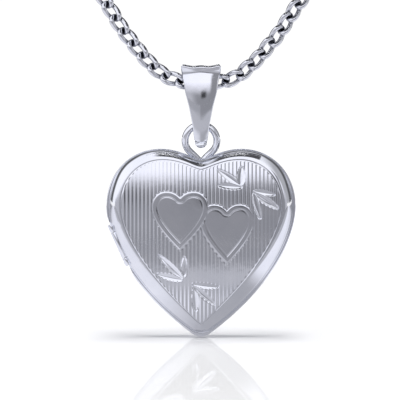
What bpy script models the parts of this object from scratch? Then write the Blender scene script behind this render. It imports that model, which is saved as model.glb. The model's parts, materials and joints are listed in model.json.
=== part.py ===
"""Heart locket on a curb chain: two hinged shells, frames inside, a hanging ring, a bail and a clasp.

Metres, +Z up, the front faces -Y. The origin is on the chain's centreline, inside the bail's eye.
Lengths below are in millimetres and become metres where a mesh is made.
"""
import math

import bmesh
import bpy
from mathutils import Matrix, Vector

MM = 0.001

# Heart: heights are counted from the tip, which hangs this far under the chain's centreline
TIP_DROP = 26.75
OUTLINE = [  # right half from the cleft over the lobe to the tip, one Bezier a row
    [(0.0, 18.70), (0.80, 18.70), (2.21, 19.75), (4.22, 19.75)],
    [(4.22, 19.75), (7.54, 19.75), (9.97, 17.18), (9.97, 13.70)],
    [(9.97, 13.70), (9.97, 10.34), (7.37, 5.04), (0.98, 0.29)],
    [(0.98, 0.29), (0.66, 0.05), (0.35, 0.0), (0.0, 0.0)],
]
PANEL = [  # edge of the engraved panel, drawn the same way
    [(0.0, 17.70), (0.60, 17.72), (2.00, 18.70), (4.00, 18.70)],
    [(4.00, 18.70), (6.60, 18.70), (8.45, 16.70), (8.45, 13.95)],
    [(8.45, 13.95), (8.45, 10.60), (5.20, 6.20), (0.51, 1.78)],
    [(0.51, 1.78), (0.34, 1.62), (0.17, 1.50), (0.0, 1.40)],
]
SEGMENT_STEPS = (6, 7, 12, 3)
PANEL_CENTRE = (0.0, 11.5)

# Half shells
SEAM_GAP = 0.02  # from the parting plane to each half
FLANGE_WIDTH = 0.38
FLANGE_DEPTH = 0.30
RIM_START = 0.34
PANEL_EDGE_DEPTH = 1.55
LIP_INSET = 0.85
LIP_DEPTH = 0.80
FRONT_CROWN = 2.17
BACK_CROWN = 1.95
WALL = 0.36

# Picture frames, windows and cards, the same in both halves
NEST_INSET = 0.92
FRAME_OPENING = 0.93
FRAME_FROM, FRAME_TO = 0.06, 0.36
WINDOW_FROM, WINDOW_TO = 0.40, 0.58
CARD_FROM, CARD_TO = 0.62, 0.74

# Hinge on the lower left flank
HINGE_MID = (-8.586, 9.642)
HINGE_ALONG = (0.412, -0.911)
KNUCKLE_RADIUS = 0.34
KNUCKLE_BORE = 0.18
PIN_RADIUS = 0.155
MIDDLE_KNUCKLE = 2.9
END_KNUCKLE = 0.85
KNUCKLE_GAP = 0.05
POCKET_RADIUS = 0.39
POCKET_LENGTH = 4.9
POCKET_OUT = 0.8
TRIM_AT = 0.01  # inwards of the axis
TRIM_DEPTH = 0.42
TRIM_LENGTH = 7.6

# Catch on the right lobe, opposite the hinge
CATCH_SHARE = 0.6  # of the lobe's outer stretch, from its top
CATCH_INSET = 1.08
CATCH_SIZE = (0.18, 1.6)
CATCH_FROM, CATCH_TO = -0.36, 0.36
CATCH_ROOM = 0.06

# Hanging ring and bail
RING_TOP = 22.27
RING_RADIUS = 1.66
RING_WIRE = 0.38
RING_FOOT = (1.62, 19.46)
RING_LEAN = 0.48
RING_UPRIGHT, RING_LEANT = 21.67, 20.20  # heights where the lean starts and is complete
BAIL_TOP = 1.62
BAIL_TIP = -6.89
EYE_TOP = 0.80
EYE_HALF = 0.86
BAIL_HALF_DEPTH = 1.38
LOOP_RADIUS = 0.70
LOOP_CENTRE = -4.50
BAIL_WALL = 0.40
BAIL_BLANK_HALF = 2.4  # half width before the taper is cut
BAIL_KNEE = (1.28, -1.6)  # half depth and height where the side profile starts to narrow
EYE_KNEE_HALF = 0.84
BAIL_NECK = (0.86, -5.40)
BAIL_END_HALF = (0.36, 0.26)
BAIL_TAPER = [  # half width and height down the front
    (2.02, 1.82), (2.08, 1.2), (1.87, 0.24), (1.70, -1.02), (1.28, -2.60), (0.92, -4.39), (0.70, -6.07),
    (0.56, -6.60), (0.34, -6.94),
]

# Chain and its ends
CHAIN_RADIUS = 0.70
CHAIN_ROUTE = [  # x and z of points on the centreline, from the left end to the right end
    (-10.90, 9.95), (-9.87, 8.26), (-9.14, 7.05), (-8.33, 5.70), (-7.39, 4.43), (-6.38, 3.15), (-5.37, 2.02),
    (-4.29, 1.07), (-3.09, 0.41), (-1.60, 0.05), (0.0, 0.0), (1.70, 0.05), (2.75, 0.22), (3.89, 0.67),
    (5.09, 1.68), (6.14, 2.68), (7.08, 3.83), (7.99, 4.90), (8.86, 6.18), (9.63, 7.39), (10.40, 8.52),
    (11.35, 9.95),
]
CHAIN_STEPS = 2
END_RING_RADIUS = 1.25
END_RING_WIRE = 0.25
END_GAP = 0.05

# Clasp: u runs from its tail to its nose, v towards the lever
CLASP_HALF_THICK = 0.50
CLASP_TAIL_EYE = 0.70
CLASP_TAIL_RADIUS = 1.15
CLASP_TILT = 58.0
LEVER_HALF_THICK = 0.22
LEVER_SLOT = 0.27
CLASP_PIVOT = (2.75, 0.75)
CLASP_PIN_RADIUS = 0.18
CLASP_PIN_HOLE = 0.21
HOOK_OUTSIDE = ((4.5, -0.1), 3.1, 1.85)  # centre and half axes of the ovals the hook follows
HOOK_INSIDE = ((4.7, -0.1), 2.05, 1.05)
CLASP_SHOULDER = [(2.75, 0.10), (3.25, 0.42), (3.30, 1.10), (2.80, 1.50), (1.60, 1.40)]
LEVER_SLOT_OUTLINE = [(1.95, 0.25), (4.2, 0.25), (4.2, 2.4), (1.95, 2.4)]
LEVER_OUTLINE = [
    (2.25, 0.55), (3.40, 0.50), (5.10, 0.72), (6.18, 0.76), (6.18, 1.24), (5.60, 1.45),
    (4.40, 1.50), (3.40, 1.36), (2.80, 1.85), (2.30, 2.00), (2.08, 1.80), (2.15, 1.20),
]
SPRING_ROUTE = [(2.10, 0.38), (2.60, 0.36), (3.10, 0.34), (3.40, 0.36)]
SPRING_WIRE = 0.06

SILVER = ((0.80, 0.81, 0.84, 1.0), 0.12, 1.0)
CHAIN_SILVER = ((0.74, 0.75, 0.79, 1.0), 0.18, 1.0)
CLEAR = ((0.92, 0.94, 0.95, 1.0), 0.05, 0.0)
PAPER = ((0.90, 0.88, 0.83, 1.0), 0.70, 0.0)
STEEL = ((0.60, 0.60, 0.62, 1.0), 0.25, 1.0)


def clear_scene():
    for obj in list(bpy.data.objects):
        bpy.data.objects.remove(obj)


def collection(name):
    made = bpy.data.collections.new(name)
    bpy.context.scene.collection.children.link(made)
    return made


def material(name, look):
    colour, roughness, metallic = look
    made = bpy.data.materials.new(name)
    made.use_nodes = True
    shader = made.node_tree.nodes["Principled BSDF"]
    shader.inputs["Base Color"].default_value = colour
    shader.inputs["Roughness"].default_value = roughness
    shader.inputs["Metallic"].default_value = metallic
    return made


def add(name, data, into, look=None):
    obj = bpy.data.objects.new(name, data)
    into.objects.link(obj)
    if look:
        data.materials.append(material(name, look))
    return obj


def finish(bm, name, into, look=None, sharp=30.0):
    """The bmesh, in millimetres, as an object in metres with its faces out."""
    bmesh.ops.recalc_face_normals(bm, faces=bm.faces)
    bmesh.ops.scale(bm, vec=Vector((MM, MM, MM)), verts=bm.verts)
    mesh = bpy.data.meshes.new(name)
    bm.to_mesh(mesh)
    bm.free()
    mesh.shade_smooth()
    mesh.set_sharp_from_angle(angle=math.radians(sharp))
    return add(name, mesh, into, look)


def heart_point(x, height, y):
    return Vector((x, y, height - TIP_DROP))


def bezier(points, t):
    a, b, c, d = (Vector(p) for p in points)
    s = 1.0 - t
    return a * s**3 + b * 3 * s * s * t + c * 3 * s * t * t + d * t**3


def heart_loop(segments):
    """The closed heart as (x, height) points, clockwise from the cleft, seen from the front."""
    half = [Vector(segments[0][0])]
    for points, steps in zip(segments, SEGMENT_STEPS):
        half += [bezier(points, (i + 1) / steps) for i in range(steps)]
    return half + [Vector((-p.x, p.y)) for p in reversed(half[1:-1])]


def inset(loop, distance):
    """The loop moved inwards along its normals."""
    moved = []
    for i, p in enumerate(loop):
        along = (loop[(i + 1) % len(loop)] - loop[i - 1]).normalized()
        moved.append(p + Vector((along.y, -along.x)) * distance)
    return moved


def scaled(loop, factor):
    centre = Vector(PANEL_CENTRE)
    return [centre + (p - centre) * factor for p in loop]


def mixed(loop_a, loop_b, share):
    return [a.lerp(b, share) for a, b in zip(loop_a, loop_b)]


def at_depth(loop, y):
    return [heart_point(p.x, p.y, y) for p in loop]


def loft(name, rings, into, look=None, ring_shaped=False):
    """A closed body through rings of equally many points, capped at both ends or joined end to end."""
    bm = bmesh.new()
    rows = [[bm.verts.new(p) for p in ring] for ring in rings]
    count = len(rows[0])
    pairs = list(zip(rows, rows[1:] + rows[:1])) if ring_shaped else list(zip(rows, rows[1:]))
    for a, b in pairs:
        for i in range(count):
            j = (i + 1) % count
            bm.faces.new((a[i], a[j], b[j], b[i]))
    if not ring_shaped:
        bm.faces.new(rows[0])
        bm.faces.new(rows[-1])
    return finish(bm, name, into, look)


def extruded(name, points, along, into, look=None):
    """A flat outline of 3-D points, extruded along a vector."""
    bm = bmesh.new()
    face = bm.faces.new([bm.verts.new(p) for p in points])
    made = bmesh.ops.extrude_face_region(bm, geom=[face])
    top = [v for v in made["geom"] if isinstance(v, bmesh.types.BMVert)]
    bmesh.ops.translate(bm, vec=along, verts=top)
    return finish(bm, name, into, look)


def turned(name, profile, place, into, look=None, steps=16):
    """A closed (radius, height) profile turned about the local Z axis, its outer side first."""
    mesh = bpy.data.meshes.new(name)
    verts = [(r * MM, 0.0, h * MM) for r, h in profile]
    edges = [(i, (i + 1) % len(profile)) for i in range(len(profile))]
    mesh.from_pydata(verts, edges, [])
    obj = add(name, mesh, into, look)
    screw = obj.modifiers.new("turn", "SCREW")
    screw.angle = math.tau
    screw.steps = steps
    screw.render_steps = steps
    screw.use_merge_vertices = True
    screw.merge_threshold = 1e-6
    obj.matrix_world = place
    return obj


def cylinder(name, radius, length, place, into, look=None, segments=16):
    bm = bmesh.new()
    bmesh.ops.create_cone(
        bm, cap_ends=True, segments=segments, radius1=radius, radius2=radius, depth=length
    )
    obj = finish(bm, name, into, look)
    obj.matrix_world = place
    return obj


def wire(name, points, radius, into, look, resolution=2):
    curve = bpy.data.curves.new(name, "CURVE")
    curve.dimensions = "3D"
    curve.bevel_depth = radius * MM
    curve.bevel_resolution = resolution
    curve.use_fill_caps = True
    spline = curve.splines.new("POLY")
    spline.points.add(len(points) - 1)
    for slot, p in zip(spline.points, points):
        slot.co = (p[0] * MM, p[1] * MM, p[2] * MM, 1.0)
    return add(name, curve, into, look)


def cut(obj, cutter, operation="DIFFERENCE"):
    cutter.hide_render = True
    cutter.display_type = "WIRE"
    boolean = obj.modifiers.new(cutter.name, "BOOLEAN")
    boolean.operation = operation
    boolean.solver = "EXACT"
    boolean.object = cutter


def placed(origin, z_axis):
    """A place whose local Z runs along z_axis, with origin in millimetres."""
    turn = Vector((0, 0, 1)).rotation_difference(Vector(z_axis)).to_matrix().to_4x4()
    return Matrix.Translation(Vector(origin) * MM) @ turn


def smooth_route(knots, steps):
    """Points on a Catmull-Rom curve through the knots."""
    pts = [Vector(k) for k in knots]
    pts = [pts[0] * 2 - pts[1]] + pts + [pts[-1] * 2 - pts[-2]]
    route = []
    for i in range(1, len(pts) - 2):
        for k in range(steps):
            t = k / steps
            a, b, c, d = pts[i - 1 : i + 3]
            curve = 2 * b + (c - a) * t + (2 * a - 5 * b + 4 * c - d) * t * t
            route.append(0.5 * (curve + (3 * b - a - 3 * c + d) * t**3))
    return route + [pts[-2]]


def shell_rings(outline, panel, side, crown):
    """Rings from the middle of the outside, over rim and flange, round the lip to the middle inside."""
    flange = inset(outline, FLANGE_WIDTH)
    lip = inset(outline, LIP_INSET)
    rings = [at_depth(scaled(panel, s), side * d) for s, d in crown]
    for step in (4, 3, 2, 1, 0):
        angle = math.radians(22.5 * step)
        rise = (PANEL_EDGE_DEPTH - RIM_START) * math.sin(angle)
        rings.append(at_depth(mixed(flange, panel, 1.0 - math.cos(angle)), side * (RIM_START + rise)))
    rings.append(at_depth(outline, side * FLANGE_DEPTH))
    rings.append(at_depth(outline, side * SEAM_GAP))
    rings.append(at_depth(lip, side * SEAM_GAP))
    rings.append(at_depth(lip, side * LIP_DEPTH))
    inner_edge = scaled(panel, 0.93)
    rings.append(at_depth(inner_edge, side * (PANEL_EDGE_DEPTH - WALL)))
    rings += [at_depth(scaled(panel, s * 0.93), side * (d - WALL)) for s, d in reversed(crown)]
    return rings


def hinge_place(offset):
    x, height = HINGE_MID
    ux, uz = HINGE_ALONG
    return placed((x + ux * offset, 0.0, height - TIP_DROP + uz * offset), (ux, 0.0, uz))


def along_hinge(name, section, length, cutters):
    """A cutter with a section of (inwards, depth) points, centred on the barrel and as long as given."""
    ux, uz = HINGE_ALONG
    along = Vector((ux, 0.0, uz)) * length
    inwards = Vector((-uz, 0.0, ux))
    start = Vector((HINGE_MID[0], 0.0, HINGE_MID[1] - TIP_DROP)) - along / 2
    points = [start + inwards * u + Vector((0.0, y, 0.0)) for u, y in section]
    return extruded(name, points, along, cutters)


def hinge_pocket(cutters):
    """The room round the barrel: half round towards the heart, and open to the outside."""
    edge = arc_points(0.0, POCKET_RADIUS, -90, 90, 12)
    edge += [(-POCKET_OUT, POCKET_RADIUS), (-POCKET_OUT, -POCKET_RADIUS)]
    return along_hinge("hinge_pocket", edge, POCKET_LENGTH, cutters)


def hinge_trim(cutters):
    """Takes off the edge that stands outside the hinge's axis, which would meet the other half's."""
    low, high = (-POCKET_OUT, TRIM_AT)
    edge = [(low, -TRIM_DEPTH), (high, -TRIM_DEPTH), (high, TRIM_DEPTH), (low, TRIM_DEPTH)]
    return along_hinge("hinge_trim", edge, TRIM_LENGTH, cutters)


def build_halves(parts, cutters):
    outline = heart_loop(OUTLINE)
    panel = heart_loop(PANEL)
    front_crown = [(0.12, FRONT_CROWN), (0.40, 2.08), (0.68, 1.90), (0.88, 1.69)]
    back_crown = [(0.70, BACK_CROWN), (0.85, 1.80)]
    front = loft("front_shell", shell_rings(outline, panel, -1, front_crown), parts, SILVER)
    back = loft("back_shell", shell_rings(outline, panel, 1, back_crown), parts, SILVER)
    for cutter in (hinge_pocket(cutters), hinge_trim(cutters)):
        cut(front, cutter)
        cut(back, cutter)
    nest = inset(outline, NEST_INSET)
    opening = scaled(panel, FRAME_OPENING)
    catch_room = catch_block("catch_room", CATCH_ROOM, cutters)
    for half, side in (("front", -1), ("back", 1)):
        frame_rings = [
            at_depth(nest, side * FRAME_FROM),
            at_depth(nest, side * FRAME_TO),
            at_depth(opening, side * FRAME_TO),
            at_depth(opening, side * FRAME_FROM),
        ]
        frame = loft(half + "_frame", frame_rings, parts, SILVER, ring_shaped=True)
        cut(frame, catch_room)
        depth = side * (WINDOW_TO - WINDOW_FROM)
        extruded_heart(half + "_window", nest, side * WINDOW_FROM, depth, parts, CLEAR)
        depth = side * (CARD_TO - CARD_FROM)
        extruded_heart(half + "_photo_card", nest, side * CARD_FROM, depth, parts, PAPER)
    catch_block("catch_tongue", 0.0, parts, SILVER)


def extruded_heart(name, loop, y, depth, into, look):
    return extruded(name, at_depth(loop, y), Vector((0, depth, 0)), into, look)


def catch_block(name, room, into, look=None):
    """The catch tongue, or with room all round, the notch it stands in."""
    stretch = OUTLINE[1]
    along = (bezier(stretch, CATCH_SHARE + 0.01) - bezier(stretch, CATCH_SHARE - 0.01)).normalized()
    side = Vector((along.x, 0, along.y))
    out = Vector((-along.y, 0, along.x))
    half_thick = CATCH_SIZE[0] / 2 + room
    half_long = CATCH_SIZE[1] / 2 + room
    y_from, y_to = CATCH_FROM - room, CATCH_TO + room
    edge = bezier(stretch, CATCH_SHARE)
    middle = heart_point(edge.x, edge.y, y_from) - out * CATCH_INSET
    outer = half_thick + 4 * room  # the notch opens outwards
    corners = [(-half_thick, -1), (outer, -1), (outer, 1), (-half_thick, 1)]
    points = [middle + out * a + side * half_long * b for a, b in corners]
    return extruded(name, points, Vector((0, y_to - y_from, 0)), into, look)


def build_hinge(parts):
    half = MIDDLE_KNUCKLE / 2
    centre = half + KNUCKLE_GAP + END_KNUCKLE / 2
    rows = [
        ("hinge_knuckle_upper", -centre, END_KNUCKLE),
        ("hinge_knuckle_middle", 0.0, MIDDLE_KNUCKLE),
        ("hinge_knuckle_lower", centre, END_KNUCKLE),
    ]
    for name, offset, length in rows:
        turned(name, tube_profile(KNUCKLE_BORE, KNUCKLE_RADIUS, length), hinge_place(offset), parts, SILVER)
    pin_length = MIDDLE_KNUCKLE + 2 * (KNUCKLE_GAP + END_KNUCKLE)
    cylinder("hinge_pin", PIN_RADIUS, pin_length, hinge_place(0.0), parts, STEEL)


def tube_profile(inner, outer, length):
    half = length / 2
    return [(outer, half), (outer, -half), (inner, -half), (inner, half)]


def build_ring(parts):
    """An omega of wire: feet on the back half, leaning forward to stand over the seam at its top."""
    centre = RING_TOP - RING_RADIUS
    foot_x, foot_height = RING_FOOT
    arc = [math.radians(a) for a in range(-30, 211, 12)]
    flat = [(RING_RADIUS * math.cos(a), centre + RING_RADIUS * math.sin(a)) for a in arc]
    flat = [(foot_x, foot_height)] + flat + [(-foot_x, foot_height)]
    points = []
    for x, height in flat:
        low = min(1.0, max(0.0, (RING_UPRIGHT - height) / (RING_UPRIGHT - RING_LEANT)))
        lean = RING_LEAN * low * low * (3 - 2 * low)
        points.append(heart_point(x, height, lean))
    wire("hanging_ring", points, RING_WIRE, parts, SILVER, resolution=3)


def arc_points(centre_z, radius, start, end, steps):
    """(y, z) points on an arc, angles in degrees from +Y towards +Z."""
    angles = [math.radians(start + (end - start) * i / steps) for i in range(steps + 1)]
    return [(radius * math.cos(a), centre_z + radius * math.sin(a)) for a in angles]


def build_bail(parts, cutters):
    """A tapered strap: its side profile and eye extruded across, then cut to the taper in front view."""
    half = BAIL_BLANK_HALF
    loop_outer = LOOP_RADIUS + BAIL_WALL
    wide, narrow = BAIL_END_HALF
    side = [BAIL_KNEE, (loop_outer, LOOP_CENTRE), BAIL_NECK, (wide, BAIL_TIP + 0.10), (narrow, BAIL_TIP)]
    outer = arc_points(BAIL_TOP - BAIL_HALF_DEPTH, BAIL_HALF_DEPTH, 0, 180, 14)
    outer += [(-y, z) for y, z in side] + side[::-1]
    inner = arc_points(EYE_TOP - EYE_HALF, EYE_HALF, 0, 180, 12) + [(-EYE_KNEE_HALF, BAIL_KNEE[1])]
    inner += arc_points(LOOP_CENTRE, LOOP_RADIUS, 180, 360, 12) + [(EYE_KNEE_HALF, BAIL_KNEE[1])]
    across = Vector((2 * half, 0, 0))
    bail = extruded("bail", [Vector((-half, y, z)) for y, z in outer], across, parts, SILVER)
    eye = extruded("bail_eye_cut", [Vector((-half - 0.5, y, z)) for y, z in inner], across * 1.2, cutters)
    face = BAIL_TAPER + [(-x, z) for x, z in reversed(BAIL_TAPER)]
    front = [Vector((x, -half, z)) for x, z in face]
    taper = extruded("bail_taper_cut", front, Vector((0, 2 * half, 0)), cutters)
    cut(bail, eye)
    cut(bail, taper, "INTERSECT")


def torus(name, radius, wire_radius, place, into, look):
    profile = []
    for i in range(8):
        a = math.radians(45 * i)
        profile.append((radius + wire_radius * math.cos(a), -wire_radius * math.sin(a)))
    return turned(name, profile, place, into, look, steps=20)


def build_chain(parts):
    route = smooth_route(CHAIN_ROUTE, CHAIN_STEPS)
    wire("chain", [(p.x, 0.0, p.y) for p in route], CHAIN_RADIUS, parts, CHAIN_SILVER)
    ends = {}
    for side, tip, before in (("left", route[0], route[1]), ("right", route[-1], route[-2])):
        out = (tip - before).normalized()
        centre = tip + out * (END_GAP + END_RING_RADIUS + END_RING_WIRE)
        torus(
            "end_ring_" + side,
            END_RING_RADIUS,
            END_RING_WIRE,
            placed((centre.x, 0.0, centre.y), (-out.y, 0, out.x)),
            parts,
            CHAIN_SILVER,
        )
        ends[side] = centre + out * END_RING_RADIUS
    return ends


def clasp_place(tail):
    """Local X runs from the clasp's tail to its nose and local Z lies across its thickness."""
    tilt = math.radians(CLASP_TILT)
    along = Vector((math.cos(tilt), 0, math.sin(tilt)))
    across = Vector((-math.sin(tilt), 0, math.cos(tilt)))
    depth = along.cross(across)
    turn = Matrix((along, across, depth)).transposed().to_4x4()
    return Matrix.Translation(Vector((tail.x, 0, tail.y)) * MM) @ turn


def clasp_plate(name, outline, half_thick, place, into, look=None):
    points = [Vector((u, v, -half_thick)) for u, v in outline]
    obj = extruded(name, points, Vector((0, 0, 2 * half_thick)), into, look)
    obj.matrix_world = place
    return obj


def oval(centre, half_u, half_v, start, end, steps):
    angles = [math.radians(start + (end - start) * i / steps) for i in range(steps + 1)]
    return [(centre[0] + half_u * math.cos(a), centre[1] + half_v * math.sin(a)) for a in angles]


def build_clasp(parts, cutters, tail):
    """A lobster clasp: a hook with an eye at its tail, and a sprung lever that closes the hook's mouth."""
    place = clasp_place(tail)
    body_outline = oval((0.0, 0.0), CLASP_TAIL_RADIUS, CLASP_TAIL_RADIUS, 110, 250, 6)
    body_outline += oval(*HOOK_OUTSIDE, 250, 412, 16) + oval(*HOOK_INSIDE, 40, -150, 14) + CLASP_SHOULDER
    body = clasp_plate("clasp_body", body_outline, CLASP_HALF_THICK, place, parts, SILVER)
    eye = cylinder("clasp_eye_cut", CLASP_TAIL_EYE, 4.0, place, cutters, segments=20)
    slot_cut = clasp_plate("clasp_slot_cut", LEVER_SLOT_OUTLINE, LEVER_SLOT, place, cutters)
    pivot = place @ Matrix.Translation(Vector((*CLASP_PIVOT, 0.0)) * MM)
    hole = cylinder("clasp_pin_cut", CLASP_PIN_HOLE, 4.0, pivot, cutters)
    for cutter in (eye, slot_cut, hole):
        cut(body, cutter)
    lever = clasp_plate("clasp_lever", LEVER_OUTLINE, LEVER_HALF_THICK, place, parts, SILVER)
    cut(lever, hole)
    cylinder("clasp_pin", CLASP_PIN_RADIUS, 2 * CLASP_HALF_THICK, pivot, parts, STEEL)
    route = [(u, v, 0.0) for u, v in SPRING_ROUTE]
    obj = wire("clasp_spring", route, SPRING_WIRE, parts, STEEL, resolution=1)
    obj.matrix_world = place


def main():
    clear_scene()
    parts = collection("locket")
    cutters = collection("cutters")
    build_halves(parts, cutters)
    build_hinge(parts)
    build_ring(parts)
    build_bail(parts, cutters)
    ends = build_chain(parts)
    build_clasp(parts, cutters, ends["right"])


main()
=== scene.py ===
"""Looks of the heart locket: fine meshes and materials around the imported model, in its frame.

Meshes are worked out in millimetres, with heights counted from the heart's tip, and become metres in mesh_object().
"""
import json
import math

import bpy
import numpy as np
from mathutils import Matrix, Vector


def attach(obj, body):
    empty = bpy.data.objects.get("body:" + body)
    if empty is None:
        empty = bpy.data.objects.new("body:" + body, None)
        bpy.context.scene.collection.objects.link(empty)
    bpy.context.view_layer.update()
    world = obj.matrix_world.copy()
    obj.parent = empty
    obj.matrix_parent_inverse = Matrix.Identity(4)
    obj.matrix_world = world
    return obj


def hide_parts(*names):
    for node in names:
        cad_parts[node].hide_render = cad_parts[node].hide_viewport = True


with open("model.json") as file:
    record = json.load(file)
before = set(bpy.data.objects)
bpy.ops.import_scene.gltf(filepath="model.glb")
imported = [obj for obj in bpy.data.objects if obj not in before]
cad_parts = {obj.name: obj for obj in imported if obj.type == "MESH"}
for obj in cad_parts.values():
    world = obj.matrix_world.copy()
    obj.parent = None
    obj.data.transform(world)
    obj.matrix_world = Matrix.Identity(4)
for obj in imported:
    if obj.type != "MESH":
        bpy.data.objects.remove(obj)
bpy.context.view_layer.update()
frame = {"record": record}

MM = 0.001
TIP_DROP = 26.75
TIP = -TIP_DROP

# ---------------------------------------------------------------- camera


def add_camera():
    """A long lens level with the heart, raised a few degrees, 42.1 mm of the object across the picture."""
    distance, elevation = 0.40, math.radians(4.0)
    aim = Vector((-0.000105, 0.0, -0.01239))
    data = bpy.data.cameras.new("camera")
    data.sensor_width = 36.0
    data.lens = 36.0 * distance / 0.0421
    data.clip_end = 20.0
    camera = bpy.data.objects.new("camera", data)
    bpy.context.scene.collection.objects.link(camera)
    camera.location = aim + Vector((0.0, -math.cos(elevation), math.sin(elevation))) * distance
    camera.rotation_euler = (math.pi / 2 - elevation, 0.0, 0.0)
    bpy.context.scene.camera = camera


add_camera()

# ---------------------------------------------------------------- mesh helpers


def mesh_object(name, verts, faces, sharp=40.0):
    """An object from points in millimetres and faces, shaded smooth between sharp edges."""
    mesh = bpy.data.meshes.new(name)
    mesh.from_pydata((np.asarray(verts, dtype=float) * MM).tolist(), [], faces)
    mesh.validate()
    mesh.shade_smooth()
    mesh.set_sharp_from_angle(angle=math.radians(sharp))
    obj = bpy.data.objects.new(name, mesh)
    bpy.context.scene.collection.objects.link(obj)
    return obj


def piece(obj, body, slot, material, *nodes):
    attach(obj, body)
    if nodes:
        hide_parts(*nodes)
    obj.data.materials.clear()
    obj.data.materials.append(material)
    return obj


def bezier(points, t):
    a, b, c, d = (np.array(p, dtype=float) for p in points)
    t = np.asarray(t, dtype=float)[..., None]
    s = 1.0 - t
    return a * s**3 + 3 * b * s * s * t + 3 * c * s * t * t + d * t**3


def loft_faces(rows, count, closed_rows=False, first=0):
    """Quads between rows of count points each, every row a closed loop."""
    faces = []
    for r in range(rows if closed_rows else rows - 1):
        a, b = first + r * count, first + ((r + 1) % rows) * count
        for i in range(count):
            j = (i + 1) % count
            faces.append((a + i, a + j, b + j, b + i))
    return faces


def tube(points, radii, sides=14, closed=False, flat=1.0):
    """Verts and faces of a round wire along points, with rounded ends when it is open."""
    pts = np.asarray(points, dtype=float)
    radii = np.broadcast_to(np.asarray(radii, dtype=float), (len(pts),))
    if closed:
        along = np.roll(pts, -1, 0) - np.roll(pts, 1, 0)
    else:
        along = np.gradient(pts, axis=0)
    along /= np.linalg.norm(along, axis=1)[:, None]
    side = np.cross(along[0], (0.0, 1.0, 0.0))
    if np.linalg.norm(side) < 0.2:
        side = np.cross(along[0], (1.0, 0.0, 0.0))
    sides_at = []
    for d in along:
        side = side - d * side.dot(d)
        side /= np.linalg.norm(side)
        sides_at.append(side)
    rings = []
    angles = np.linspace(0, math.tau, sides, endpoint=False)
    for p, d, s, r in zip(pts, along, sides_at, radii):
        up = np.cross(d, s)
        rings.append(p + r * (np.cos(angles)[:, None] * s + flat * np.sin(angles)[:, None] * up))
    if not closed:
        for end, step in ((0, -1), (-1, 1)):
            for k in (1, 2, 3):
                turn = math.radians(28 * k)
                base = rings_base(pts[end], along[end], sides_at[end], radii[end], angles, flat)
                ring = pts[end] + (base - pts[end]) * math.cos(turn) + along[end] * step * radii[end] * math.sin(turn)
                if end == 0:
                    rings.insert(0, ring)
                else:
                    rings.append(ring)
    verts = np.concatenate(rings)
    faces = loft_faces(len(rings), sides, closed)
    if not closed:
        faces.append(tuple(range(sides)))
        faces.append(tuple(range(len(verts) - sides, len(verts)))[::-1])
    return verts, faces


def rings_base(point, along, side, radius, angles, flat):
    up = np.cross(along, side)
    return point + radius * (np.cos(angles)[:, None] * side + flat * np.sin(angles)[:, None] * up)


def joined(parts):
    """Several (verts, faces) as one."""
    verts, faces, first = [], [], 0
    for v, f in parts:
        verts.append(np.asarray(v))
        faces += [tuple(i + first for i in face) for face in f]
        first += len(v)
    return np.concatenate(verts), faces


def smooth_route(knots, steps):
    """Points on a Catmull-Rom curve through the knots."""
    p = np.array(knots, dtype=float)
    p = np.vstack([2 * p[0] - p[1], p, 2 * p[-1] - p[-2]])
    route = []
    for i in range(1, len(p) - 2):
        for k in range(steps):
            t = k / steps
            a, b, c, d = p[i - 1 : i + 3]
            route.append(
                0.5 * (2 * b + (c - a) * t + (2 * a - 5 * b + 4 * c - d) * t * t + (3 * b - a - 3 * c + d) * t**3)
            )
    return np.array(route + [p[-2]])


# ---------------------------------------------------------------- materials


class Nodes:
    """A material's node tree, with short calls for the nodes used here."""

    def __init__(self, name):
        self.material = bpy.data.materials.new(name)
        self.material.use_nodes = True
        self.tree = self.material.node_tree
        self.shader = self.tree.nodes["Principled BSDF"]

    def node(self, kind, **values):
        made = self.tree.nodes.new(kind)
        for key, value in values.items():
            if hasattr(made, key):
                setattr(made, key, value)
            else:
                made.inputs[key.replace("_", " ")].default_value = value
        return made

    def link(self, out, into):
        self.tree.links.new(out, into)

    def place(self, stretch=(1.0, 1.0, 1.0)):
        """The object's own coordinates in millimetres, stretched along its axes."""
        coords = self.node("ShaderNodeTexCoord")
        mapping = self.node("ShaderNodeMapping")
        mapping.inputs["Scale"].default_value = [1000.0 * s for s in stretch]
        self.link(coords.outputs["Object"], mapping.inputs["Vector"])
        return mapping.outputs["Vector"]

    def noise(self, scale, detail=3.0, stretch=(1.0, 1.0, 1.0)):
        made = self.node("ShaderNodeTexNoise", Scale=scale, Detail=detail)
        self.link(self.place(stretch), made.inputs["Vector"])
        return made.outputs["Fac"]

    def ramp(self, fac, stops):
        made = self.node("ShaderNodeValToRGB")
        ramp = made.color_ramp
        while len(ramp.elements) < len(stops):
            ramp.elements.new(0.5)
        for element, (at, colour) in zip(ramp.elements, stops):
            element.position = at
            element.color = (*colour, 1.0)
        self.link(fac, made.inputs["Fac"])
        return made.outputs["Color"]

    def spread(self, fac, low, high):
        made = self.node("ShaderNodeMapRange")
        made.inputs["To Min"].default_value = low
        made.inputs["To Max"].default_value = high
        self.link(fac, made.inputs["Value"])
        return made.outputs["Result"]

    def bump(self, height, depth_mm, strength=1.0):
        made = self.node("ShaderNodeBump")
        made.inputs["Strength"].default_value = strength
        made.inputs["Distance"].default_value = depth_mm * MM
        self.link(height, made.inputs["Height"])
        self.link(made.outputs["Normal"], self.shader.inputs["Normal"])


def silver(name, light=(0.90, 0.91, 0.95), dull=(0.84, 0.855, 0.90), roughness=(0.05, 0.11), waves=0.004):
    """Rhodium-plated silver: a cloudy tone, uneven polish and faint polishing marks."""
    n = Nodes(name)
    n.shader.inputs["Metallic"].default_value = 1.0
    cloud = n.noise(0.35)
    n.link(n.ramp(cloud, [(0.35, dull), (0.65, light)]), n.shader.inputs["Base Color"])
    marks = n.noise(2.5, 4.0, (1.0, 1.0, 0.25))
    n.link(n.spread(marks, *roughness), n.shader.inputs["Roughness"])
    n.bump(n.noise(1.2, 2.0), waves)
    return n.material


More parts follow.
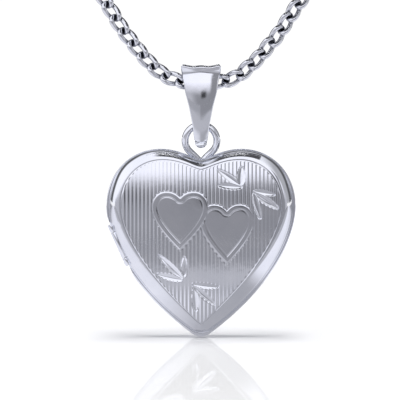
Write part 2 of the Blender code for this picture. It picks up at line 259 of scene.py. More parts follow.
def chain_silver():
    """The same plating, with painted shade: an ambient-occlusion mask darkens the colour where the links crowd each
    other, plus a faint random tone.
    """
    n = Nodes("chain_silver")
    n.shader.inputs["Metallic"].default_value = 1.0
    # Painted shade: the ambient-occlusion mask turns the colour dark in the recesses between links.
    painted_shade_between_links = n.node("ShaderNodeAmbientOcclusion", samples=8, Distance=0.45 * MM).outputs["AO"]
    worn = n.spread(n.noise(0.8), -0.06, 0.06)
    shade = n.node("ShaderNodeMath", operation="ADD")
    n.link(painted_shade_between_links, shade.inputs[0])
    n.link(worn, shade.inputs[1])
    # The darkest tone is the painted shade between links, the lightest the open plating.
    tones = [(0.30, (0.06, 0.06, 0.07)), (0.55, (0.36, 0.37, 0.41)), (0.85, (0.82, 0.83, 0.87))]
    n.link(n.ramp(shade.outputs[0], tones), n.shader.inputs["Base Color"])
    n.link(n.spread(n.noise(2.5, 4.0), 0.05, 0.12), n.shader.inputs["Roughness"])
    n.bump(n.noise(1.2, 2.0), 0.006)
    return n.material


def steel():
    return silver("steel", (0.62, 0.62, 0.64), (0.50, 0.50, 0.52), (0.20, 0.32), 0.002)


def clear_acetate():
    """Thin clear sheet: it hides little seen straight on, shines at a slant, and has a handling haze."""
    n = Nodes("clear_acetate")
    tint = n.noise(0.3)
    n.link(n.ramp(tint, [(0.3, (0.92, 0.95, 0.96)), (0.7, (0.97, 0.98, 0.99))]), n.shader.inputs["Base Color"])
    shine = n.node("ShaderNodeFresnel", IOR=1.47)
    n.link(n.spread(shine.outputs[0], 0.05, 1.0), n.shader.inputs["Alpha"])
    n.link(n.spread(n.noise(0.8, 4.0), 0.0, 0.10), n.shader.inputs["Roughness"])
    n.bump(n.noise(0.25), 0.01)
    return n.material


def paper_card():
    """Plain off-white card with a fibre texture."""
    n = Nodes("paper_card")
    fibres = n.noise(9.0, 6.0, (1.0, 1.0, 0.5))
    n.link(n.ramp(fibres, [(0.3, (0.78, 0.75, 0.68)), (0.7, (0.88, 0.86, 0.80))]), n.shader.inputs["Base Color"])
    n.link(n.spread(n.noise(3.0), 0.65, 0.85), n.shader.inputs["Roughness"])
    n.bump(fibres, 0.012)
    return n.material


# ---------------------------------------------------------------- chain

CHAIN_ROUTE = [  # x and z of points on the centreline, from the left end to the right end
    (-10.90, 9.95), (-9.87, 8.26), (-9.14, 7.05), (-8.33, 5.70), (-7.39, 4.43), (-6.38, 3.15), (-5.37, 2.02),
    (-4.29, 1.07), (-3.09, 0.41), (-1.60, 0.05), (0.0, 0.0), (1.70, 0.05), (2.75, 0.22), (3.89, 0.67),
    (5.09, 1.68), (6.14, 2.68), (7.08, 3.83), (7.99, 4.90), (8.86, 6.18), (9.63, 7.39), (10.40, 8.52),
    (11.35, 9.95),
]
LINK_WIRE = 0.26
LINK_HALF_LENGTH = 1.045
LINK_HALF_WIDTH = 0.54
LINK_TWIST = 0.29
LINK_SLANT = 0.15
LINK_PITCH = 1.57


def curb_link(centre, along):
    """One twisted oval link, lying flat in the XZ plane along the given direction."""
    across = np.array([-along[2], 0.0, along[0]])
    depth = np.array([0.0, -1.0, 0.0])
    turn = np.linspace(0, math.tau, 44, endpoint=False)
    points = (
        centre
        + np.outer(LINK_HALF_LENGTH * np.cos(turn), along)
        + np.outer(LINK_HALF_WIDTH * np.sin(turn) + LINK_SLANT * np.cos(turn), across)
        + np.outer(LINK_TWIST * np.sin(2 * turn), depth)
    )
    return tube(points, LINK_WIRE, sides=12, closed=True)


def build_chain(material):
    flat = smooth_route(CHAIN_ROUTE, 12)
    route = np.stack([flat[:, 0], np.zeros(len(flat)), flat[:, 1]], 1)
    run = np.concatenate([[0], np.cumsum(np.linalg.norm(np.diff(route, axis=0), axis=1))])
    length = run[-1]
    end = LINK_HALF_LENGTH + LINK_WIRE
    count = int(round((length - 2 * end) / LINK_PITCH)) + 1
    links = []
    for at in np.linspace(end, length - end, count):
        centre, ahead, behind = (
            np.array([np.interp(at + d, run, route[:, c]) for c in range(3)]) for d in (0.0, 0.4, -0.4)
        )
        along = ahead - behind
        links.append(curb_link(centre, along / np.linalg.norm(along)))
    chain = mesh_object("curb_chain", *joined(links))
    piece(chain, "chain", "chain_silver", material, "chain")
    path = [(x * MM, y * MM, z * MM) for x, y, z in route[::3]]
    return chain, path, length * MM


silver_polished = silver("polished_silver")
silver_chain = chain_silver()
chain, chain_path, chain_length = build_chain(silver_chain)

# ---------------------------------------------------------------- heart outlines and the rim's section

OUTLINE = [  # right half from the cleft over the lobe to the tip, one Bezier a row
    [(0.0, 18.70), (0.80, 18.70), (2.21, 19.75), (4.22, 19.75)],
    [(4.22, 19.75), (7.54, 19.75), (9.97, 17.18), (9.97, 13.70)],
    [(9.97, 13.70), (9.97, 10.34), (7.37, 5.04), (0.98, 0.29)],
    [(0.98, 0.29), (0.66, 0.05), (0.35, 0.0), (0.0, 0.0)],
]
PANEL = [  # edge of the engraved panel, drawn the same way
    [(0.0, 17.70), (0.60, 17.72), (2.00, 18.70), (4.00, 18.70)],
    [(4.00, 18.70), (6.60, 18.70), (8.45, 16.70), (8.45, 13.95)],
    [(8.45, 13.95), (8.45, 10.60), (5.20, 6.20), (0.51, 1.78)],
    [(0.51, 1.78), (0.34, 1.62), (0.17, 1.50), (0.0, 1.40)],
]
PANEL_HALF = 8.45
RIB_PITCH = 0.405
SEAM_GAP = 0.03
LIP_INSET = 0.85
LIP_DEPTH = 0.80
FRONT_CROWN = 2.17
BACK_CROWN = 1.95
HINGE_MID = (-8.586, 9.642)
HINGE_ALONG = (0.412, -0.911)
HINGE_ROOM = 2.42


def smooth(x, low, high):
    t = np.clip((x - low) / (high - low), 0.0, 1.0)
    return t * t * (3 - 2 * t)


def half_curves(segments, steps=200):
    """Parameter, x and height along the right half, the parameter counting segments."""
    t = np.linspace(0, 1, steps + 1)
    points = np.concatenate([bezier(s, t[:-1] if k < 3 else t) for k, s in enumerate(segments)])
    u = np.concatenate([k + (t[:-1] if k < 3 else t) for k in range(4)])
    return u, points


U, PANEL_CURVE = half_curves(PANEL)
_, OUTLINE_CURVE = half_curves(OUTLINE)
TOP_PART = U <= 2.0
LOW_PART = U >= 2.0


def columns(step):
    """The x of the panel's columns, a rib at a time, closer together at the two ends."""
    inner = np.arange(0.0, PANEL_HALF - 0.10, step)
    ends = PANEL_HALF - np.array([0.10, 0.055, 0.028, 0.012, 0.004])
    right = np.concatenate([inner[inner < ends[0] - 0.02], ends])
    return np.concatenate([-right[:0:-1], right])


def boundary_parameters(xs):
    """For each column, where its top and its bottom lie on the half curve."""
    ax = np.abs(xs)
    top = np.interp(ax, PANEL_CURVE[TOP_PART, 0], U[TOP_PART])
    low = np.interp(-ax, -PANEL_CURVE[LOW_PART, 0], U[LOW_PART])
    return top, low


def on_curve(curve, u, sign):
    x = np.interp(u, U, curve[:, 0]) * sign
    return np.stack([x, np.interp(u, U, curve[:, 1])], 1)


def boundary_loops(xs):
    """The panel's edge and the outline as matching loops, clockwise from the left end over the top."""
    top, low = boundary_parameters(xs)
    sign = np.where(xs < 0, -1.0, 1.0)
    u = np.concatenate([top, [2.0], low[::-1], [2.0]])
    s = np.concatenate([sign, [1.0], sign[::-1], [-1.0]])
    return on_curve(PANEL_CURVE, u, s), on_curve(OUTLINE_CURVE, u, s)


def inset(loop, distance):
    along = np.roll(loop, -1, 0) - np.roll(loop, 1, 0)
    along /= np.linalg.norm(along, axis=1)[:, None]
    return loop + np.stack([along[:, 1], -along[:, 0]], 1) * distance


def with_depth(loop, y):
    return np.stack([loop[:, 0], np.broadcast_to(y, len(loop)), loop[:, 1] + TIP], 1)


def shell(name, side, crown, step, rows, relief):
    """One half shell: the panel as a grid of columns, then the rim, flange, lip and inside as matching loops."""
    xs = columns(step)
    top, low = boundary_parameters(xs)
    sign = np.where(xs < 0, -1.0, 1.0)
    high = on_curve(PANEL_CURVE, top, sign)[:, 1]
    deep = on_curve(PANEL_CURVE, low, sign)[:, 1]
    share = np.linspace(0, 1, rows + 1)
    height = deep[:, None] + (high - deep)[:, None] * share
    x = np.repeat(xs[:, None], rows + 1, 1)
    depth = crown(x, height) + relief(x, height)
    grid = np.stack([x, side * depth, height + TIP], 2).reshape(-1, 3)
    per = rows + 1
    faces = []
    for c in range(len(xs) - 1):
        a, b = c * per, (c + 1) * per
        faces += [(a + r, b + r, b + r + 1, a + r + 1) for r in range(rows)]
    edge, outline = boundary_loops(xs)
    left_end, right_end = len(grid), len(grid) + 1
    ends = edge[[-1, len(xs)]]
    end_depth = crown(ends[:, 0], ends[:, 1])
    grid = np.vstack([grid, [(ends[k, 0], side * end_depth[k], ends[k, 1] + TIP) for k in (0, 1)]])
    last = (len(xs) - 1) * per
    faces += [(left_end, r, r + 1) for r in range(rows)]
    faces += [(right_end, last + r + 1, last + r) for r in range(rows)]
    ring = [c * per + rows for c in range(len(xs))] + [right_end]
    ring += [c * per for c in reversed(range(len(xs)))] + [left_end]
    tangent = np.roll(outline, -1, 0) - np.roll(outline, 1, 0)
    facing_up = tangent[:, 0] / np.linalg.norm(tangent, axis=1)
    band = (0.36 - 0.28 * smooth(facing_up, 0.25, 0.85) + 0.24 * smooth(-facing_up, 0.70, 0.98))[:, None]
    along = (outline - HINGE_MID) @ HINGE_ALONG
    at_hinge = smooth(HINGE_ROOM - np.abs(along), -0.06, 0.06) * (outline[:, 0] < 0)
    outside = (HINGE_MID - outline) @ (-HINGE_ALONG[1], HINGE_ALONG[0])
    past_axis = np.clip(outside + 0.02, 0.0, None) * (outline[:, 0] < 0)
    room = np.maximum(0.50 * at_hinge, past_axis)[:, None]
    step_in = np.maximum(band, room)
    flange = inset(outline, step_in)
    edge_depth = crown(edge[:, 0], edge[:, 1])
    loops = []
    for degrees in (3, 6, 10, 15, 20, 26, 32, 38, 44, 50, 56, 62, 68, 74, 80, 85, 90):
        angle = math.radians(degrees)
        loop = edge + (flange - edge) * math.sin(angle)
        loops.append(with_depth(loop, side * (0.36 + (edge_depth - 0.36) * math.cos(angle))))
    lift = 0.08 * at_hinge
    for share, y in ((0.96, 0.28), (0.84, 0.27), (0.70, 0.31), (0.50, 0.33), (0.22, 0.32), (0.06, 0.28)):
        loops.append(with_depth(inset(outline, np.maximum(band * share, room)), side * (y + lift)))
    for distance, y in ((0.0, 0.22), (0.0, 0.08), (0.03, SEAM_GAP), (LIP_INSET - 0.03, SEAM_GAP),
                        (LIP_INSET, SEAM_GAP + 0.03), (LIP_INSET, LIP_DEPTH)):
        loops.append(with_depth(inset(outline, np.maximum(distance, room)), side * y))
    centre = np.array([0.0, 11.5])
    for scale in (0.93, 0.80, 0.62, 0.42, 0.22, 0.06):
        loop = centre + (edge - centre) * scale
        loops.append(with_depth(loop, side * (crown(loop[:, 0], loop[:, 1]) - 0.42 - 0.12 * (scale > 0.9))))
    count = len(edge)
    verts = np.vstack([grid] + loops)
    first = len(grid)
    for i in range(count):
        j = (i + 1) % count
        faces.append((ring[i], ring[j], first + j, first + i))
    faces += loft_faces(len(loops), count, first=first)
    faces.append(tuple(range(first + (len(loops) - 1) * count, first + len(loops) * count)))
    if side > 0:
        faces = [face[::-1] for face in faces]
    return mesh_object(name, verts, faces, 50.0)


# ---------------------------------------------------------------- engraving


def signed_distance(x, z, loop):
    """Distance to a closed loop, negative inside."""
    p = np.stack([x.ravel(), z.ravel()], 1)
    best = np.full(len(p), 1e9)
    inside = np.zeros(len(p), dtype=bool)
    for a, b in zip(loop, np.roll(loop, -1, 0)):
        ab, ap = b - a, p - a
        t = np.clip(ap @ ab / max(ab @ ab, 1e-12), 0, 1)
        best = np.minimum(best, ((ap - t[:, None] * ab) ** 2).sum(1))
        cross = (a[1] > p[:, 1]) != (b[1] > p[:, 1])
        rise = b[1] - a[1] if b[1] != a[1] else 1e-12
        inside ^= cross & (p[:, 0] < a[0] + (p[:, 1] - a[1]) / rise * ab[0])
    return (np.sqrt(best) * np.where(inside, -1, 1)).reshape(x.shape)


def small_heart(tip, half_width, height):
    """An upright heart outline from its tip, as a closed loop."""
    w, h = half_width, height
    rows = [
        [(0, 0.895 * h), (0.11 * w, 0.955 * h), (0.26 * w, h), (0.48 * w, h)],
        [(0.48 * w, h), (0.80 * w, h), (w, 0.885 * h), (w, 0.73 * h)],
        [(w, 0.73 * h), (w, 0.50 * h), (0.46 * w, 0.22 * h), (0, 0)],
    ]
    t = np.linspace(0, 1, 16)
    half = np.concatenate([bezier(r, t[:-1]) for r in rows] + [np.zeros((1, 2))])
    loop = np.concatenate([half, half[-2:0:-1] * (-1, 1)])
    return loop + np.array(tip)


LEFT_HEART = small_heart((-2.20, 9.22), 2.95, 6.16)
RIGHT_HEART = small_heart((2.71, 7.74), 2.82, 6.30)
HEART_BAND = 0.55
LEAVES = [  # base, tip, half width
    ((4.20, 15.98), (1.71, 17.68), 0.42),
    ((4.10, 16.05), (4.30, 18.05), 0.46),
    ((4.30, 15.86), (1.80, 16.02), 0.36),
    ((5.50, 15.42), (7.80, 15.00), 0.34),
    ((5.52, 15.30), (8.15, 13.55), 0.44),
    ((5.50, 15.20), (6.25, 12.45), 0.36),
    ((-1.97, 6.26), (-4.50, 8.75), 0.40),
    ((-2.00, 6.10), (-4.65, 6.66), 0.38),
    ((-1.80, 6.45), (-1.72, 8.55), 0.36),
    ((-0.88, 5.62), (1.90, 5.30), 0.30),
    ((-0.84, 5.46), (1.50, 3.45), 0.36),
    ((-0.72, 4.98), (-0.52, 2.72), 0.42),
]


def leaf_cut(x, z, base, tip, half_width):
    """Share of the way in from a leaf's edge to its vein, from its base to its tip."""
    base, tip = np.array(base), np.array(tip)
    length = np.linalg.norm(tip - base)
    along = (tip - base) / length
    s = ((x - base[0]) * along[0] + (z - base[1]) * along[1]) / length
    t = (x - base[0]) * -along[1] + (z - base[1]) * along[0]
    width = half_width * np.sqrt(np.clip(np.sin(math.pi * np.clip(s, 0, 1) ** 0.8), 0, 1))
    return np.clip(1 - np.abs(t) / np.maximum(width, 1e-3), 0, 1) * (s > 0) * (s < 1)


def engraved(x, z):
    """Height of the engraving over the plain dome, in millimetres."""
    left = signed_distance(x, z, LEFT_HEART)
    right = signed_distance(x, z, RIGHT_HEART)
    right = np.where(left < 0, 9.0, right)
    edge_top = np.interp(np.abs(x), PANEL_CURVE[TOP_PART, 0], PANEL_CURVE[TOP_PART, 1]) - z
    loop = np.concatenate([PANEL_CURVE[::12], PANEL_CURVE[-2:0:-12] * (-1, 1)])
    rim = -signed_distance(x, z, loop)
    open_ground = smooth(rim, 0.06, 0.20) * smooth(left, 0.02, 0.12) * smooth(right, 0.02, 0.12)
    wave = 0.5 + 0.5 * np.cos(math.tau * x / RIB_PITCH)
    ribs = 0.045 * (wave**1.4 - 0.5)
    height = np.zeros_like(x)
    leaves = np.zeros_like(x)
    for base, tip, half_width in LEAVES:
        cut = leaf_cut(x, z, base, tip, half_width)
        leaves = np.maximum(leaves, 0.05 * smooth(cut, 0.0, 0.35) + 0.09 * cut)
    clear = 1 - smooth(leaves, 0.0, 0.02)
    height += ribs * open_ground * clear
    for d in (left, right):
        near = np.where(d < 8, 1.0, 0.0)
        height -= near * 0.014 * np.exp(-((d / 0.055) ** 2))
        height -= near * 0.014 * np.exp(-(((d + HEART_BAND) / 0.055) ** 2))
        height += near * 0.015 * smooth(-d, 0.0, 0.10) * (1 - smooth(-d, HEART_BAND - 0.10, HEART_BAND))
    height -= 0.03 * np.exp(-((rim / 0.06) ** 2)) * (rim > 0)
    height -= leaves * smooth(rim, 0.0, 0.15)
    fade = smooth(np.abs(edge_top), 0.0, 0.02)
    return height * np.maximum(fade, 0.0)


def front_dome(x, z):
    across, up = x / PANEL_HALF, (z - 11.0) / 9.5
    drop = 0.22 * across**2 + 0.14 * across**4 + 0.24 * up**2 + 0.75 * np.maximum(up, 0.0) ** 4
    return FRONT_CROWN - 0.06 - drop


def back_dome(x, z):
    return BACK_CROWN - 0.30 * ((x / PANEL_HALF) ** 2 + ((z - 11.5) / 9.5) ** 2) ** 2


front = shell("front_cover", -1, front_dome, RIB_PITCH / 6, 290, engraved)
piece(front, "front_half", "polished_silver", silver_polished, "front_shell")
back = shell("back_cover", 1, back_dome, 0.16, 90, lambda x, z: np.zeros_like(x))
piece(back, "back_half", "polished_silver", silver_polished, "back_shell")

# ---------------------------------------------------------------- hanging ring and bail

RING_TOP = 22.27
RING_RADIUS = 1.67
RING_WIRE = 0.37


def build_ring():
    """An omega of wire whose arms run down into the cleft of the back half."""
    angles = np.radians(np.arange(-34, 215, 4.0))
    centre = RING_TOP - RING_RADIUS
    arc = np.stack([RING_RADIUS * np.cos(angles), centre + RING_RADIUS * np.sin(angles)], 1)
    arm = bezier([(0.10, 18.25), (0.32, 18.70), (0.95, 19.15), tuple(arc[0])], np.linspace(0, 0.95, 12))
    flat = np.vstack([arm, arc, arm[::-1] * (-1, 1)])
    low = smooth(RING_TOP - 0.6 - flat[:, 1], 0.0, 3.2)
    points = np.stack([flat[:, 0], 0.85 * low, flat[:, 1] + TIP], 1)
    return mesh_object("omega_ring", *tube(points, RING_WIRE, sides=24), 60.0)


piece(build_ring(), "back_half", "polished_silver", silver_polished, "hanging_ring")


def closed_spline(knots, count):
    """Evenly spaced points on a closed Catmull-Rom curve through the knots."""
    p = np.array(knots, dtype=float)
    dense = []
    for i in range(len(p)):
        a, b, c, d = p[i - 1], p[i], p[(i + 1) % len(p)], p[(i + 2) % len(p)]
        for t in np.linspace(0, 1, 24, endpoint=False):
            dense.append(
                0.5 * (2 * b + (c - a) * t + (2 * a - 5 * b + 4 * c - d) * t * t + (3 * b - a - 3 * c + d) * t**3)
            )
    dense = np.array(dense + [dense[0]])
    run = np.concatenate([[0], np.cumsum(np.linalg.norm(np.diff(dense, axis=0), axis=1))])
    at = np.linspace(0, run[-1], count, endpoint=False)
    return np.stack([np.interp(at, run, dense[:, k]) for k in (0, 1)], 1)


BAIL_OUTER = [(0.0, 1.60), (-0.50, 1.64), (-0.98, 1.80), (-1.34, 1.76), (-1.44, 1.50), (-1.30, 1.18), (-1.33, 0.80),
              (-1.45, 0.0),
              (-1.50, -1.3), (-1.42, -2.6), (-1.24, -3.8), (-1.02, -4.9), (-0.78, -5.8), (-0.66, -6.2),
              (-0.52, -6.38), (-0.60, -6.62), (-0.42, -6.86), (0.0, -6.90), (0.30, -6.70), (0.50, -6.3), (0.86, -5.5),
              (1.14, -4.5), (1.22, -3.2), (1.28, -2.0), (1.36, -0.80), (1.38, 0.20), (1.22, 0.95), (0.72, 1.42)]
BAIL_INNER = [(0.0, 0.86), (-0.50, 0.72), (-0.82, 0.30), (-0.92, -0.30), (-0.88, -1.4), (-0.80, -2.8), (-0.72, -4.0),
              (-0.74, -4.6), (-0.52, -5.08), (0.0, -5.24), (0.52, -5.08), (0.74, -4.6), (0.72, -4.0), (0.80, -2.8),
              (0.88, -1.4), (0.92, -0.30), (0.82, 0.30), (0.50, 0.72)]
BAIL_CROWN = 0.15
BAIL_WIDTH = [(-6.95, 0.40), (-6.60, 0.56), (-6.10, 0.70), (-4.39, 0.92), (-2.60, 1.26), (-1.02, 1.66), (0.24, 1.84),
              (1.10, 2.04), (1.50, 2.12), (1.80, 1.98)]


def build_bail():
    """Matching loops round the outside, over the rounded edges and round the eye, each a closed side profile."""
    count = 180
    outer = closed_spline(BAIL_OUTER, count)
    inner = closed_spline(BAIL_INNER, count)
    widths = np.array(BAIL_WIDTH)
    out_width = np.interp(outer[:, 1], widths[:, 0], widths[:, 1])
    in_width = np.interp(inner[:, 1], widths[:, 0], widths[:, 1]) - 0.02
    along = np.roll(outer, -1, 0) - np.roll(outer, 1, 0)
    along /= np.linalg.norm(along, axis=1)[:, None]
    outwards = np.stack([-along[:, 1], along[:, 0]], 1)
    if (outwards * outer).sum() < 0:
        outwards = -outwards
    lip = smooth(outer[:, 1], 0.9, 1.5)
    crown = BAIL_CROWN * out_width * (1 - 0.9 * lip)
    loops = []
    edge = 0.13
    for u in np.linspace(-1, 1, 25):
        x = u * (out_width - edge)
        p = outer - outwards * (crown * u * u)[:, None]
        p[:, 1] += lip * (0.15 * u**4 + 0.035 * math.cos(math.tau * 1.15 * u))
        loops.append(np.stack([x, p[:, 0], p[:, 1]], 1))
    base = outer - outwards * crown[:, None]
    base[:, 1] += lip * 0.17
    for degrees in (30, 60, 90):
        a = math.radians(degrees)
        p = base - outwards * edge * (1 - math.cos(a))
        loops.append(np.stack([out_width - edge + edge * math.sin(a), p[:, 0], p[:, 1]], 1))
    for u in np.linspace(1, -1, 9):
        loops.append(np.stack([u * in_width, inner[:, 0], inner[:, 1]], 1))
    for degrees in (90, 60, 30):
        a = math.radians(degrees)
        p = base - outwards * edge * (1 - math.cos(a))
        loops.append(np.stack([-(out_width - edge + edge * math.sin(a)), p[:, 0], p[:, 1]], 1))
    return mesh_object("tapered_bail", np.vstack(loops), loft_faces(len(loops), count, True), 50.0)


piece(build_bail(), "bail", "polished_silver", silver_polished, "bail")

# ---------------------------------------------------------------- hinge


def turned(profile, offset, sides=48):
    """Rings about the hinge's axis from (distance along, radius) pairs, offset along it."""
    along = np.array([HINGE_ALONG[0], 0.0, HINGE_ALONG[1]])
    along /= np.linalg.norm(along)
    across = np.array([-along[2], 0.0, along[0]])
    depth = np.array([0.0, 1.0, 0.0])
    centre = np.array([HINGE_MID[0], 0.0, HINGE_MID[1] + TIP])
    angles = np.linspace(0, math.tau, sides, endpoint=False)
    rings = [
        centre + along * (offset + at) + radius * (np.cos(angles)[:, None] * across + np.sin(angles)[:, None] * depth)
        for at, radius in profile
    ]
    return rings


def knuckle(name, offset, length, body):
    half, soft = length / 2, 0.05
    profile = [(-half, 0.18), (-half, 0.34 - soft), (-half + soft * 0.3, 0.34 - soft * 0.3), (-half + soft, 0.34),
               (half - soft, 0.34), (half - soft * 0.3, 0.34 - soft * 0.3), (half, 0.34 - soft), (half, 0.18)]
    rings = turned(profile, offset)
    obj = mesh_object(name + "_barrel", np.vstack(rings), loft_faces(len(rings), len(rings[0]), True), 50.0)
    piece(obj, body, "polished_silver", silver_polished, name)


def hinge_pin(length):
    """The pin, peened into low domes at its ends."""
    half, r = length / 2, 0.155
    ends = [(0.0, 0.05), (0.015, 0.10), (0.035, 0.14), (0.06, r)]
    profile = [(-half + a, b) for a, b in ends] + [(half - a, b) for a, b in reversed(ends)]
    rings = turned(profile, 0.0)
    count = len(rings[0])
    faces = loft_faces(len(rings), count)
    faces += [tuple(range(count)), tuple(range(count * (len(rings) - 1), count * len(rings)))[::-1]]
    piece(mesh_object("peened_pin", np.vstack(rings), faces, 50.0), "back_half", "steel", pin_steel, "hinge_pin")


pin_steel = steel()
knuckle("hinge_knuckle_upper", -1.925, 0.85, "back_half")
knuckle("hinge_knuckle_middle", 0.0, 2.9, "front_half")
knuckle("hinge_knuckle_lower", 1.925, 0.85, "back_half")
hinge_pin(4.7)

# ---------------------------------------------------------------- carried-over nodes

looks = {"polished_silver": silver_polished, "chain_silver": silver_chain, "steel": pin_steel,
         "clear_window": clear_acetate(), "card": paper_card()}
slots = {row["node"]: row["material_slot"] for row in frame["record"]["subparts"]}
replaced = {"chain", "front_shell", "back_shell", "hanging_ring", "bail", "hinge_pin",
            "hinge_knuckle_upper", "hinge_knuckle_middle", "hinge_knuckle_lower"}
for name, slot in slots.items():
    if name in replaced:
        continue
    node = bpy.data.objects[name]
    node.data.materials.clear()
    node.data.materials.append(looks[slot])

# ---------------------------------------------------------------- floor, world and lights

FLOOR_GLOW = 0.0
FLOOR_FAR_GLOW = 0.96
FLOOR_SHEEN = 0.62
CARD_AWAY = 0.11
TENT = 1.06


def add_floor():
    """A plain white sweep, with a sheen that fades out round the object."""
    bpy.ops.mesh.primitive_plane_add(size=60.0, location=(0.0, 0.0, (TIP - 0.06) * MM))
    floor = bpy.context.object
    floor.name = "floor"
    n = Nodes("floor")
    coords = n.node("ShaderNodeTexCoord")
    away = n.node("ShaderNodeVectorMath")
    away.operation = "LENGTH"
    n.link(coords.outputs["Object"], away.inputs[0])
    n.shader.inputs["Base Color"].default_value = (0.90, 0.90, 0.90, 1.0)
    n.shader.inputs["Roughness"].default_value = 1.0
    n.shader.inputs["Specular IOR Level"].default_value = 0.0
    n.shader.inputs["Emission Color"].default_value = (1.0, 1.0, 1.0, 1.0)
    far = window(n.tree, away.outputs["Value"], 0.0, 0.21)
    n.link(blend(n.tree, far, FLOOR_GLOW, FLOOR_FAR_GLOW), n.shader.inputs["Emission Strength"])
    sheen = n.node("ShaderNodeBsdfGlossy")
    sheen.inputs["Color"].default_value = (1.0, 1.0, 1.0, 1.0)
    sheen.inputs["Roughness"].default_value = 0.0
    mix = n.node("ShaderNodeMixShader")
    near = window(n.tree, away.outputs["Value"], 0.150, 0.020)
    gloss = n.node("ShaderNodeFresnel", IOR=1.45)
    n.link(product(n.tree, blend(n.tree, near, 0.0, FLOOR_SHEEN), gloss.outputs[0]), mix.inputs["Fac"])
    n.link(n.shader.outputs[0], mix.inputs[1])
    n.link(sheen.outputs[0], mix.inputs[2])
    n.link(mix.outputs[0], n.tree.nodes["Material Output"].inputs["Surface"])
    floor.data.materials.append(n.material)


def card_sheet(name, corners, level_of):
    """A sheet that glows on one side and is seen only in reflections; level_of gives its brightness by place."""
    mesh = bpy.data.meshes.new(name)
    mesh.from_pydata(corners, [], [(0, 1, 2, 3)])
    card = bpy.data.objects.new(name, mesh)
    bpy.context.scene.collection.objects.link(card)
    card.visible_camera = False
    card.visible_shadow = False
    card.visible_diffuse = False
    n = Nodes(name)
    coords = n.node("ShaderNodeTexCoord")
    split = n.node("ShaderNodeSeparateXYZ")
    n.link(coords.outputs["Object"], split.inputs[0])
    glow = n.node("ShaderNodeEmission")
    glow.inputs["Color"].default_value = (0.97, 0.975, 1.06, 1.0)
    n.link(level_of(n.tree, *split.outputs), glow.inputs["Strength"])
    side = n.node("ShaderNodeNewGeometry")
    clear = n.node("ShaderNodeBsdfTransparent")
    mix = n.node("ShaderNodeMixShader")
    n.link(side.outputs["Backfacing"], mix.inputs["Fac"])
    n.link(glow.outputs[0], mix.inputs[1])
    n.link(clear.outputs[0], mix.inputs[2])
    n.link(mix.outputs[0], n.tree.nodes["Material Output"].inputs["Surface"])
    mesh.materials.append(n.material)


def front_levels(tree, x, y, z):
    """Grey in front of the camera, light to the left, a dark strip to the right, white from a little above."""
    rise = window(tree, z, -0.012, 0.016)
    level = blend(tree, rise, 0.30, TENT)
    level = blend(tree, window(tree, x, -0.015, -0.07), level, blend(tree, rise, 0.52, TENT))
    spot = product(tree, window(tree, x, -0.006, 0.008), window(tree, x, 0.036, 0.018))
    spot = product(tree, spot, product(tree, window(tree, z, -0.018, -0.012), window(tree, z, 0.006, -0.006)))
    level = blend(tree, spot, level, 0.05)
    strip = product(tree, window(tree, x, 0.042, 0.055), window(tree, x, 0.105, 0.085))
    level = blend(tree, strip, level, 0.28)
    return blend(tree, window(tree, x, 0.10, 0.16), level, 0.55)


def flag_levels(tree, x, y, z):
    return blend(tree, window(tree, x, -0.012, -0.006), TENT, 0.07)


def low_levels(tree, x, y, z):
    """Grey in front, lighter near the object and to the left, a light patch to the right; behind, light to grey."""
    near = window(tree, y, -0.075, -0.010)
    level = blend(tree, near, 0.30, 0.44)
    level = blend(tree, window(tree, x, 0.002, -0.010), level, blend(tree, near, 0.40, 0.88))
    band = product(tree, window(tree, y, -0.062, -0.052), window(tree, y, -0.028, -0.038))
    level = blend(tree, band, level, 0.52)
    bright = product(tree, window(tree, x, 0.010, 0.016), window(tree, y, -0.030, -0.018))
    level = blend(tree, bright, level, 0.95)
    behind = blend(tree, window(tree, y, 0.012, 0.11), 0.85, 0.30)
    return blend(tree, window(tree, y, 0.004, 0.012), level, behind)


def add_cards():
    low, high = TIP * MM, 0.036
    y = -CARD_AWAY
    card_sheet("front_card", [(0.30, y, low), (-0.30, y, low), (-0.30, y, high), (0.30, y, high)], front_levels)
    low_at = (TIP - 0.03) * MM
    side, back = 0.30, 0.50
    card_sheet("low_card", [(-side, y, low_at), (side, y, low_at), (side, back, low_at), (-side, back, low_at)], low_levels)
    card_sheet("top_flag", [(-0.012, 0.012, 0.022), (0.020, 0.012, 0.022), (0.020, -0.030, 0.022), (-0.012, -0.030, 0.022)],
               flag_levels)


def window(tree, value, low, high):
    """Rises smoothly from 0 to 1 as the value goes from low to high; low may be the larger."""
    made = tree.nodes.new("ShaderNodeMapRange")
    made.interpolation_type = "SMOOTHSTEP"
    made.inputs["From Min"].default_value = min(low, high)
    made.inputs["From Max"].default_value = max(low, high)
    if low > high:
        made.inputs["To Min"].default_value = 1.0
        made.inputs["To Max"].default_value = 0.0
    tree.links.new(value, made.inputs["Value"])
    return made.outputs["Result"]


def blend(tree, fac, a, b):
    """A mix of two sockets or grey levels."""
    made = tree.nodes.new("ShaderNodeMix")
    made.data_type = "FLOAT"
    for socket, value in (("A", a), ("B", b)):
        if hasattr(value, "is_output"):
            tree.links.new(value, made.inputs[socket])
        else:
            made.inputs[socket].default_value = value
    tree.links.new(fac, made.inputs["Factor"])
    return made.outputs["Result"]


def product(tree, a, b):
    made = tree.nodes.new("ShaderNodeMath")
    made.operation = "MULTIPLY"
    tree.links.new(a, made.inputs[0])
    tree.links.new(b, made.inputs[1])
    return made.outputs[0]


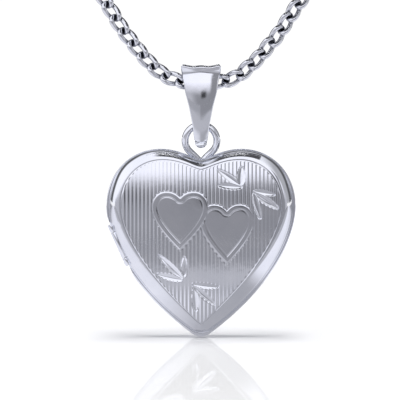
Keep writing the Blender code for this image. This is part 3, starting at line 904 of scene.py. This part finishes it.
def add_world():
    """A white tent, greyer to the right, dark beyond the object and grey straight beyond it, seen only in
    reflections; the background is plain.
    """
    world = bpy.data.worlds.new("studio")
    bpy.context.scene.world = world
    world.use_nodes = True
    tree = world.node_tree
    background = tree.nodes["Background"]
    coords = tree.nodes.new("ShaderNodeTexCoord")
    split = tree.nodes.new("ShaderNodeSeparateXYZ")
    tree.links.new(coords.outputs["Generated"], split.inputs[0])
    x, y, z = split.outputs
    level = blend(tree, window(tree, x, 0.25, 0.75), TENT, 0.45)
    behind = product(tree, window(tree, y, 0.08, 0.40), window(tree, z, 0.93, 0.75))
    level = blend(tree, behind, level, 0.12)
    level = blend(tree, window(tree, y, 0.72, 0.88), level, 0.42)
    gap = product(tree, window(tree, y, 0.982, 0.990), window(tree, z, 0.17, 0.13))
    level = blend(tree, gap, level, 1.0)
    tint = tree.nodes.new("ShaderNodeCombineColor")
    for channel, factor in (("Red", 0.97), ("Green", 0.98), ("Blue", 1.04)):
        scaled = tree.nodes.new("ShaderNodeMath")
        scaled.operation = "MULTIPLY"
        scaled.inputs[1].default_value = factor
        tree.links.new(level, scaled.inputs[0])
        tree.links.new(scaled.outputs[0], tint.inputs[channel])
    tree.links.new(tint.outputs[0], background.inputs["Color"])
    plain = tree.nodes.new("ShaderNodeBackground")
    plain.inputs["Color"].default_value = (1.0, 1.0, 1.0, 1.0)
    path = tree.nodes.new("ShaderNodeLightPath")
    tree.links.new(blend(tree, path.outputs["Is Diffuse Ray"], 1.0, 0.08), background.inputs["Strength"])
    mix = tree.nodes.new("ShaderNodeMixShader")
    tree.links.new(path.outputs["Is Camera Ray"], mix.inputs["Fac"])
    tree.links.new(background.outputs[0], mix.inputs[1])
    tree.links.new(plain.outputs[0], mix.inputs[2])
    tree.links.new(mix.outputs[0], tree.nodes["World Output"].inputs["Surface"])


def add_light(name, place, aim, size, power, seen=True):
    """A soft square light; one that isn't seen lights matt surfaces and leaves no reflection."""
    data = bpy.data.lights.new(name, "AREA")
    data.size = size
    data.energy = power
    light = bpy.data.objects.new(name, data)
    bpy.context.scene.collection.objects.link(light)
    light.location = place
    light.rotation_euler = (Vector(aim) - Vector(place)).to_track_quat("-Z", "Y").to_euler()
    light.visible_camera = seen
    light.visible_glossy = seen


add_floor()
add_cards()
add_world()
add_light("front_light", (0.0, -0.028, 0.14), (0.0, 0.0, -0.027), 0.05, 0.15)
add_light("back_light", (0.0, 0.025, 0.14), (0.0, 0.0, -0.027), 0.05, 0.15)
add_light("fill_light", (0.0, -0.30, -0.012), (0.0, 0.0, -0.012), 0.02, 0.26, seen=False)
bpy.context.scene.view_settings.view_transform = "Standard"
